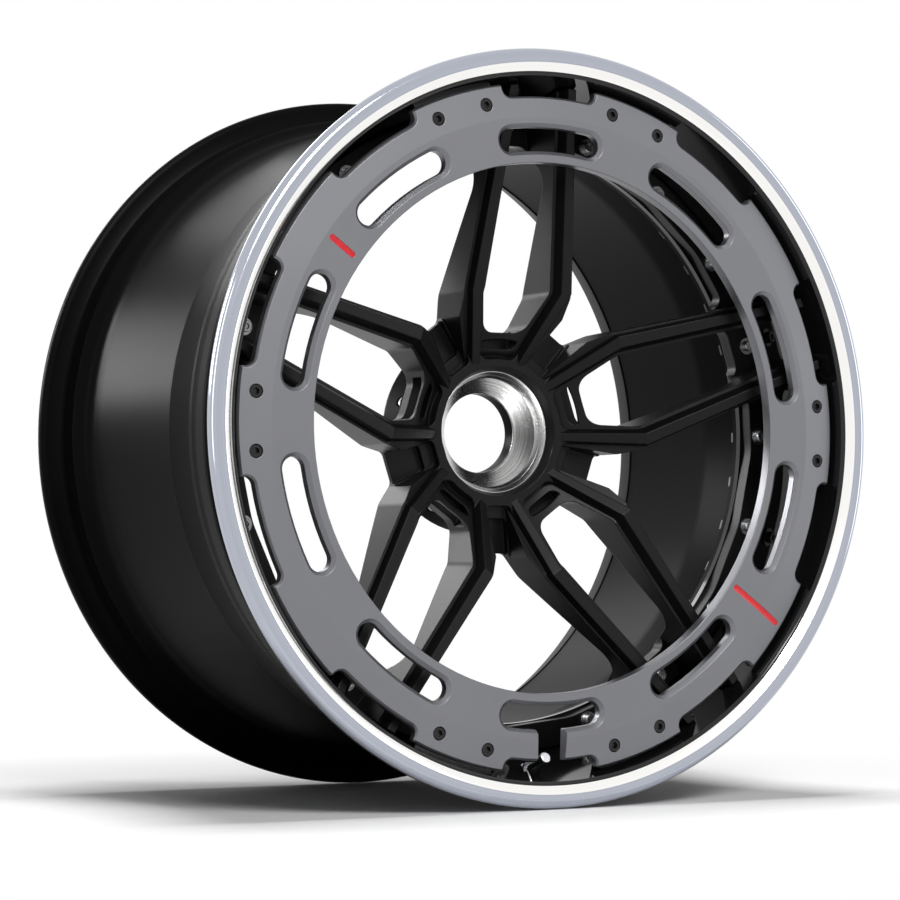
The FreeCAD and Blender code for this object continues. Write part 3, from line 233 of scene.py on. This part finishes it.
def deselectAll():
    if bpy.context.object and bpy.context.object.mode != "OBJECT":
        bpy.ops.object.mode_set(mode="OBJECT")
    bpy.ops.object.select_all(action="DESELECT")


def startEdit():
    bpy.ops.object.mode_set(mode="EDIT")
    bpy.ops.mesh.select_all(action="SELECT")


def startFaceEdit():
    bpy.ops.object.mode_set(mode="EDIT")
    bpy.ops.mesh.select_mode(type="FACE")
    bpy.ops.mesh.select_all(action="SELECT")


def weld():
    bpy.ops.mesh.select_all(action="SELECT")
    bpy.ops.mesh.remove_doubles(threshold=mergeDistance)


def endEdit():
    # turns all the faces outward and goes back to the object
    bpy.ops.mesh.select_all(action="SELECT")
    bpy.ops.mesh.normals_make_consistent(inside=False)
    bpy.ops.object.mode_set(mode="OBJECT")


def smoothBelow(angle):
    bpy.ops.object.shade_smooth_by_angle(angle=math.radians(angle))


def stepOut(length, ratio=1.0, depth=0.0):
    # draws the selection out along the axis and scales it about the axis at that depth
    bpy.ops.mesh.extrude_region_move(TRANSFORM_OT_translate={"value": (0, length / 1000, 0)})
    if ratio != 1.0:
        bpy.ops.transform.resize(value=(ratio, 1, ratio),
                                 center_override=(0, depthToFrame(depth), 0))


def roundStock(sides, radius, depth, fill):
    # a circle or disc about the axis, the start of a turned piece, a screw or a bolt
    deselectAll()
    bpy.ops.mesh.primitive_circle_add(vertices=sides, radius=radius / 1000, fill_type=fill,
                                      rotation=(math.pi / 2, 0, 0),
                                      location=(0, depthToFrame(depth), 0))
    bpy.ops.object.transform_apply(location=True, rotation=True, scale=True)
    return bpy.context.object


def lathe(name, profile, segments):
    # a ring of vertices drawn out along the profile, radius and depth in millimetres
    radius, depth = profile[0]
    piece = roundStock(segments, radius, depth, "NOTHING")
    piece.name = name
    startEdit()
    for nextRadius, nextDepth in profile[1:]:
        stepOut(nextDepth - depth, nextRadius / radius, nextDepth)
        radius, depth = nextRadius, nextDepth
    weld()
    endEdit()
    smoothBelow(28)
    return piece


def arcPoints(centre, radius, start, end, steps):
    points = []
    for step in range(steps + 1):
        angle = math.radians(start + (end - start) * step / steps)
        points.append((centre[0] + radius * math.cos(angle), centre[1] + radius * math.sin(angle)))
    return points


def finishPiece(piece, material, nodeNames):
    piece.data.materials.clear()
    piece.data.materials.append(material)
    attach(piece, "root")
    if nodeNames:
        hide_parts(*nodeNames)


def joinPieces(pieces, name):
    deselectAll()
    for piece in pieces:
        piece.select_set(True)
    bpy.context.view_layer.objects.active = pieces[0]
    bpy.ops.object.join()
    joined = bpy.context.object
    joined.name = name
    bpy.ops.object.transform_apply(location=True, rotation=True, scale=True)
    return joined


def ringOfCopies(master, name, radius, angles):
    # copies about the wheel axis, each with its own mesh, joined into one piece
    copies = []
    outTo = Matrix.Translation((radius / 1000, 0, 0))
    for angle in angles:
        copy = master.copy()
        copy.data = master.data.copy()
        bpy.context.collection.objects.link(copy)
        copy.matrix_world = Matrix.Rotation(-math.radians(angle), 4, "Y") @ outTo
        copies.append(copy)
    bpy.data.objects.remove(master, do_unlink=True)
    return joinPieces(copies, name)


# front half of the rim, polished nose with a painted highlight band on its inner slope, and glossy
# black wall
lip = {"segments": 288, "noseEdge": 266.8, "bandEdge": 273.0, "noseBack": 13.2,
       "slots": {"polish": 1, "outside": 2, "paintedHighlight": 3}}
lipProfile = [(225, 95), (225, 90), (245, 90), (264, 6.4), (264.9, 5.6), (265.6, 5.1)]
lipProfile += [(266.6, 5.0), (267.0, 4.6), (269.8, 2.75), (272.7, 0.95), (273.3, 0.7)]
lipProfile += [(274.2, 0.46), (275.6, 0.22), (277.2, 0.06), (278.8, 0.0), (280.2, 0.22)]
lipProfile += [(281.4, 0.75), (282.4, 1.6), (283.2, 2.75), (283.75, 4.1), (284, 5.6), (284, 8.6)]
lipProfile += arcPoints((281, 8.6), 3.0, 18, 90, 4)
lipProfile += [(272.5, 12.95), (269.5, 13.9), (267.6, 15.8), (266.6, 18.6), (265.3, 47.6)]
lipProfile += [(266.1, 50.2), (266.5, 51.6), (266.1, 53.4), (263.6, 60.2), (262.8, 62.6)]
lipProfile += [(262.4, 66), (262, 74), (261.4, 78), (258.3, 91.6), (258, 92.8), (258, 95)]
lipProfile += [(225, 95)]
lipPiece = lathe("lip_turned", lipProfile, lip["segments"])
finishPiece(lipPiece, wallBlack, ["outer_lip"])
lipPiece.data.materials.append(lipPolish)
lipPiece.data.materials.append(barrelBlack)
lipPiece.data.materials.append(lipPaintedHighlight)
for face in lipPiece.data.polygons:
    across = radiusOf(face.center)
    if across > lip["noseEdge"] and depthOf(face.center) < lip["noseBack"]:
        # the inner slope of the nose takes the lighter copy of the polish, a painted highlight
        innerSlope = across < lip["bandEdge"] and outwardness(face) < 0
        face.material_index = lip["slots"]["paintedHighlight" if innerSlope else "polish"]
    elif outwardness(face) > 0:
        face.material_index = lip["slots"]["outside"]

# lugs of the lip that carry the ring, swept about the axis from their end face
lug = {"angles": (0, 72, 108, 180, 252, 288), "half": 7.5, "steps": 10,
       "corners": ((237.0, 19.6), (262.0, 19.6), (259.0, 31.6), (239.0, 31.6)),
       "planeOrder": (0, 1, 3, 2), "sharpAngle": 40, "edgeRounding": 0.8, "edgeSteps": 2}
lugPieces = []
for lugAngle in lug["angles"]:
    deselectAll()
    bpy.ops.mesh.primitive_plane_add(size=0.01)
    lugPiece = bpy.context.object
    for index, (radius, depth) in zip(lug["planeOrder"], lug["corners"]):
        lugPiece.data.vertices[index].co = place(radius, depth, lugAngle - lug["half"])
    startEdit()
    bpy.ops.mesh.spin(steps=lug["steps"], angle=math.radians(2 * lug["half"]),
                      center=(0, 0, 0), axis=(0, 1, 0))
    weld()
    bpy.ops.mesh.normals_make_consistent(inside=False)
    bpy.ops.mesh.select_all(action="DESELECT")
    bpy.ops.mesh.edges_select_sharp(sharpness=math.radians(lug["sharpAngle"]))
    bpy.ops.mesh.bevel(offset=lug["edgeRounding"] / 1000, segments=lug["edgeSteps"],
                       affect="EDGES")
    bpy.ops.object.mode_set(mode="OBJECT")
    smoothBelow(35)
    lugPieces.append(lugPiece)
lugGroup = joinPieces(lugPieces, "lip_lugs")
finishPiece(lugGroup, wallBlack, [])
print("lip ready")

# rear half of the rim
barrel = {"segments": 288, "insideSlot": 1}
barrelProfile = [(225, 95), (258, 95), (258, 97.4), (257.7, 98.6), (247.7, 153.0), (247.2, 156.4)]
barrelProfile += [(247.0, 157.2), (246.2, 157.6), (246.0, 158.6), (246.1, 161), (254.3, 279)]
barrelProfile += [(255.2, 285.6), (256.6, 290.6), (259.5, 294.6), (263.5, 297.4), (265.8, 298.6)]
barrelProfile += [(266.5, 299.6), (266.2, 301), (265.4, 303.8), (266.5, 316), (266.9, 318)]
barrelProfile += [(268.2, 320.2), (270.8, 321.2), (279, 321.9), (281.5, 322.2), (283.2, 323.2)]
barrelProfile += [(284, 325), (284, 327.4), (283.6, 329.6), (282.4, 331.6), (280.4, 333.0)]
barrelProfile += [(278, 333.6), (268, 333.6), (266.5, 333.2), (265.4, 332.2), (261.6, 326.8)]
barrelProfile += [(259.8, 323.8), (258.6, 320.6), (251.2, 298), (250.3, 294.8), (250.0, 293.4)]
barrelProfile += [(249.2, 293.1), (249.2, 292.3), (249.9, 292.0), (240.5, 169), (240.1, 163.6)]
barrelProfile += [(240.3, 158), (244.4, 116), (244.9, 112), (245, 108), (245, 100), (225, 100)]
barrelProfile += [(225, 95)]
barrelPiece = lathe("barrel_turned", barrelProfile, barrel["segments"])
finishPiece(barrelPiece, barrelBlack, ["inner_barrel"])
barrelPiece.data.materials.append(barrelInner)
for face in barrelPiece.data.polygons:
    if outwardness(face) < 0:
        face.material_index = barrel["insideSlot"]
print("barrel ready")

# hub insert with its turned cone and a dark bore
insert = {"segments": 224, "boreEdge": 30.95, "boreFront": 121.0, "boreSlot": 1}
insertProfile = [(46.5, 97.0), (46.9, 97.0), (47.15, 97.1), (47.5, 97.45), (47.6, 97.7)]
insertProfile += [(47.6, 116), (40, 116), (40, 133.7), (39.7, 134), (31.4, 134), (30.9, 133.5)]
insertProfile += [(30.9, 121.2), (31.0, 120.7), (31.3, 120.3), (42.2, 107.3), (42.45, 106.9)]
insertProfile += [(44.1, 102.85), (44.55, 103.05), (44.75, 102.55), (44.3, 102.4), (46.35, 97.3)]
insertProfile += [(46.5, 97.0)]
insertPiece = lathe("insert_turned", insertProfile, insert["segments"])
finishPiece(insertPiece, insertSteel, ["centre_lock_insert"])
insertPiece.data.materials.append(barrelBlack)
for face in insertPiece.data.polygons:
    if radiusOf(face.center) < insert["boreEdge"] and depthOf(face.center) > insert["boreFront"]:
        face.material_index = insert["boreSlot"]
print("insert ready")

# bolts of the rim with twelve-point heads and a well in each head
bolt = {"head": 72.4, "seat": 76.8, "end": 109.6, "circle": 234.6, "count": 20, "sides": 24,
        "radius": 4.95, "valley": 0.86, "crown": 0.4, "crownRatio": 0.9, "shank": 3.5,
        "tip": 0.8, "tipRatio": 0.8, "well": 1.4, "wellEdge": 0.62, "wellRatio": 0.8}
boltShoulder = bolt["head"] + bolt["crown"]
boltMaster = roundStock(bolt["sides"], bolt["radius"], boltShoulder, "NGON")
for vertex in boltMaster.data.vertices:
    vertex.select = vertex.index % 2 == 0
bpy.ops.object.mode_set(mode="EDIT")
bpy.ops.mesh.select_mode(type="VERT")
bpy.ops.transform.resize(value=(bolt["valley"], 1, bolt["valley"]),
                         center_override=(0, depthToFrame(boltShoulder), 0))
bpy.ops.mesh.select_all(action="SELECT")
bpy.ops.mesh.select_mode(type="FACE")
stepOut(bolt["seat"] - boltShoulder)
stepOut(0, bolt["shank"] / bolt["radius"], bolt["seat"])
stepOut(bolt["end"] - bolt["seat"] - bolt["tip"])
stepOut(bolt["tip"], bolt["tipRatio"], bolt["end"])
bpy.ops.mesh.select_all(action="DESELECT")
bpy.ops.object.mode_set(mode="OBJECT")
for face in boltMaster.data.polygons:
    face.select = depthOf(face.center) < boltShoulder + 0.1 and abs(face.normal.y) > 0.9
bpy.ops.object.mode_set(mode="EDIT")
stepOut(-bolt["crown"], bolt["crownRatio"], bolt["head"])
stepOut(0, bolt["wellEdge"], bolt["head"])
stepOut(bolt["well"], bolt["wellRatio"], bolt["head"] + bolt["well"])
endEdit()
smoothBelow(25)
boltAngles = [index * 360 / bolt["count"] for index in range(bolt["count"])]
boltGroup = ringOfCopies(boltMaster, "rim_bolt_heads", bolt["circle"], boltAngles)
finishPiece(boltGroup, boltSteel, ["assembly_bolts"])

# hexagon-socket screws of the ring, a pair at each lug
screw = {"top": 11.5, "seat": 15.5, "end": 28.6, "circle": 245.4, "sides": 40, "head": 4.9,
         "chamfer": 0.5, "shank": 2.5, "fromLug": 5}
socket = {"sides": 6, "radius": 2.8, "lead": 1, "length": 3.6}
screwMaster = roundStock(screw["sides"], screw["head"] - screw["chamfer"], screw["top"], "NGON")
startFaceEdit()
stepOut(screw["chamfer"], screw["head"] / (screw["head"] - screw["chamfer"]),
        screw["top"] + screw["chamfer"])
stepOut(screw["seat"] - screw["top"] - screw["chamfer"])
stepOut(0, screw["shank"] / screw["head"], screw["seat"])
stepOut(screw["end"] - screw["seat"])
endEdit()
socketTool = roundStock(socket["sides"], socket["radius"], screw["top"] - socket["lead"], "NGON")
startFaceEdit()
stepOut(socket["length"])
endEdit()
deselectAll()
screwMaster.select_set(True)
bpy.context.view_layer.objects.active = screwMaster
socketCut = screwMaster.modifiers.new("socket", "BOOLEAN")
socketCut.operation = "DIFFERENCE"
socketCut.solver = "EXACT"
socketCut.object = socketTool
bpy.ops.object.modifier_apply(modifier="socket")
bpy.data.objects.remove(socketTool, do_unlink=True)
smoothBelow(30)
screwAngles = [lugAngle + side * screw["fromLug"] for lugAngle in lug["angles"] for side in (-1, 1)]
screwGroup = ringOfCopies(screwMaster, "ring_screw_heads", screw["circle"], screwAngles)
finishPiece(screwGroup, screwBlack, ["aero_ring_screws"])
print("fasteners ready")

# red inlays of the ring, creased along the middle, bent where the ring slopes back
mark = {"angles": (144, -36), "starts": (205.6, 203.1), "ends": (229.9, 253.9), "half": 2.3,
        "front": 10.5, "crease": 0.9, "bend": 233.0, "slope": 0.0923, "body": 2.6,
        "columns": 4, "rows": 36}
markPieces = []
for markAngle, markStart, markEnd in zip(mark["angles"], mark["starts"], mark["ends"]):
    deselectAll()
    bpy.ops.mesh.primitive_grid_add(x_subdivisions=mark["columns"], y_subdivisions=mark["rows"],
                                    size=1)
    markPiece = bpy.context.object
    sideways = place(1, hubDepth, markAngle + 90)
    for vertex in markPiece.data.vertices:
        # the unit grid spans half a unit each way, its rows crowd towards the round ends
        across = vertex.co.x * 2
        along = 0.5 - 0.5 * math.cos(math.pi * (vertex.co.y + 0.5))
        radius = markStart + (markEnd - markStart) * along
        toEnd = min(radius - markStart, markEnd - radius, mark["half"])
        width = math.sqrt(max(0.0, 1 - (1 - toEnd / mark["half"]) ** 2))
        depth = mark["front"] + max(0.0, radius - mark["bend"]) * mark["slope"]
        depth += mark["crease"] * (1 - abs(across)) * width
        middle = place(radius, depth, markAngle)
        vertex.co = middle + sideways * (across * width * mark["half"])
    startEdit()
    stepOut(mark["body"])
    weld()
    endEdit()
    smoothBelow(15)
    markPieces.append(markPiece)
markGroup = joinPieces(markPieces, "ring_marks_creased")
finishPiece(markGroup, markRed, ["ring_mark_short", "ring_mark_long"])
print("marks ready")

# camera from the fit of the rim's edges
view = {"sensor": 36.0, "lens": 124.69, "far": 60.0, "position": (-1.20426, -2.12260, -0.10079),
        "right": (0.87299, -0.48773, -0.00146), "up": (-0.01631, -0.03218, 0.99935),
        "forward": (0.48746, 0.87240, 0.03605)}
camera = bpy.data.objects.new("photoCamera", bpy.data.cameras.new("photoCamera"))
bpy.context.collection.objects.link(camera)
camera.data.sensor_width = view["sensor"]
camera.data.lens = view["lens"]
camera.data.clip_end = view["far"]
viewAxes = Matrix((Vector(view["right"]), Vector(view["up"]), -Vector(view["forward"])))
camera.matrix_world = Matrix.Translation(view["position"]) @ viewAxes.transposed().to_4x4()
bpy.context.scene.camera = camera
bpy.context.scene.view_settings.view_transform = "Standard"


def addSeen(tree):
    # one where the eye, metal or glass looks, nothing where a surface is lit
    rays = tree.nodes.new("ShaderNodeLightPath")
    result = rays.outputs["Is Camera Ray"]
    for rayName in ("Is Glossy Ray", "Is Transmission Ray"):
        either = tree.nodes.new("ShaderNodeMath")
        either.operation = "MAXIMUM"
        tree.links.new(result, either.inputs[0])
        tree.links.new(rays.outputs[rayName], either.inputs[1])
        result = either.outputs["Value"]
    return result


# white surroundings for the eye, metal and glass, even grey for the light
surroundings = {"litLevel": 0.09, "seenLevel": 1.0}
world = bpy.data.worlds.new("studio")
bpy.context.scene.world = world
world.use_nodes = True
worldTree = world.node_tree
background = worldTree.nodes["Background"]
level = worldTree.nodes.new("ShaderNodeMix")
level.inputs["A"].default_value = surroundings["litLevel"]
level.inputs["B"].default_value = surroundings["seenLevel"]
worldTree.links.new(addSeen(worldTree), level.inputs["Factor"])
worldTree.links.new(level.outputs["Result"], background.inputs["Strength"])
background.inputs["Color"].default_value = (1, 1, 1, 1)

# one lamp above that metal does not mirror, one in front, and four panels for metal to mirror
lamps = [
    {"name": "topBox", "position": (0.0, 0.0, 2.4), "target": (0, 0.03, 0),
     "size": (0.8, 0.8), "power": 50, "glossy": False},
    {"name": "keyBox", "position": (-0.4, -2.9, 2.0), "target": (0, -0.1, 0),
     "size": (1.4, 1.2), "power": 76},
    {"name": "sideStrip", "position": (-1.5, 1.95, 0.75), "target": (-0.2, 0.05, 0),
     "size": (0.45, 0.8), "power": 30, "diffuse": False},
    {"name": "backBox", "position": (0.0, 1.9, 0.9), "target": (0.2, 0.1, -0.15),
     "size": (0.8, 0.6), "power": 6, "diffuse": False},
    {"name": "leftPanel", "position": (-2.4, -0.1, 0.3), "target": (0, 0, 0),
     "size": (0.5, 2.2), "power": 8, "diffuse": False},
    {"name": "rightPanel", "position": (2.2, -1.2, 0.3), "target": (0, 0, 0),
     "size": (0.6, 2.2), "power": 9, "diffuse": False}]
for lamp in lamps:
    lampData = bpy.data.lights.new(lamp["name"], "AREA")
    lampData.shape = "RECTANGLE"
    lampData.size, lampData.size_y = lamp["size"]
    lampData.energy = lamp["power"]
    lampObject = bpy.data.objects.new(lamp["name"], lampData)
    bpy.context.collection.objects.link(lampObject)
    lampObject.location = lamp["position"]
    lampWay = Vector(lamp["target"]) - Vector(lamp["position"])
    lampObject.rotation_euler = lampWay.to_track_quat("-Z", "Y").to_euler()
    lampObject.visible_glossy = lamp.get("glossy", True)
    lampObject.visible_diffuse = lamp.get("diffuse", True)

# pale floor that keeps the shadow of the wheel and runs out into the white surroundings
ground = {"size": 24, "drop": 0.0005, "dark": (0.93, 0.93, 0.93), "light": (0.95, 0.95, 0.95),
          "rough": 0.7, "specular": 0.1, "fadeFrom": 0.36, "fadeTo": 0.66}
deselectAll()
bpy.ops.mesh.primitive_plane_add(size=ground["size"],
                                 location=(0, 0, floorHeight - ground["drop"]))
floor = bpy.context.object
floor.name = "paleFloor"
floorMaterial, floorTree, floorShader, floorCoords = startMaterial("paleFloor")
floorGrain = addNoise(floorTree, floorCoords.outputs["Object"], scale=40.0, detail=3.0)
floorTone = addMix(floorTree, addRange(floorTree, floorGrain, 0, 1),
                   ground["dark"], ground["light"])
floorTree.links.new(floorTone, floorShader.inputs["Base Color"])
floorShader.inputs["Roughness"].default_value = ground["rough"]
floorShader.inputs["Specular IOR Level"].default_value = ground["specular"]
floorReach = floorTree.nodes.new("ShaderNodeVectorMath")
floorReach.operation = "LENGTH"
floorTree.links.new(floorCoords.outputs["Object"], floorReach.inputs[0])
floorFade = addRange(floorTree, floorReach.outputs["Value"], 0.0, 1.0,
                     ground["fadeFrom"], ground["fadeTo"])
floorSeen = floorTree.nodes.new("ShaderNodeMath")
floorSeen.operation = "MULTIPLY"
floorTree.links.new(addSeen(floorTree), floorSeen.inputs[0])
floorTree.links.new(floorFade, floorSeen.inputs[1])
floorGlow = floorTree.nodes.new("ShaderNodeEmission")
floorGlow.inputs["Strength"].default_value = surroundings["seenLevel"]
floorBlend = floorTree.nodes.new("ShaderNodeMixShader")
floorTree.links.new(floorSeen.outputs["Value"], floorBlend.inputs["Fac"])
floorTree.links.new(floorShader.outputs["BSDF"], floorBlend.inputs[1])
floorTree.links.new(floorGlow.outputs["Emission"], floorBlend.inputs[2])
floorOutput = floorTree.nodes["Material Output"]
floorTree.links.new(floorBlend.outputs["Shader"], floorOutput.inputs["Surface"])
floor.data.materials.append(floorMaterial)
print("stage ready")
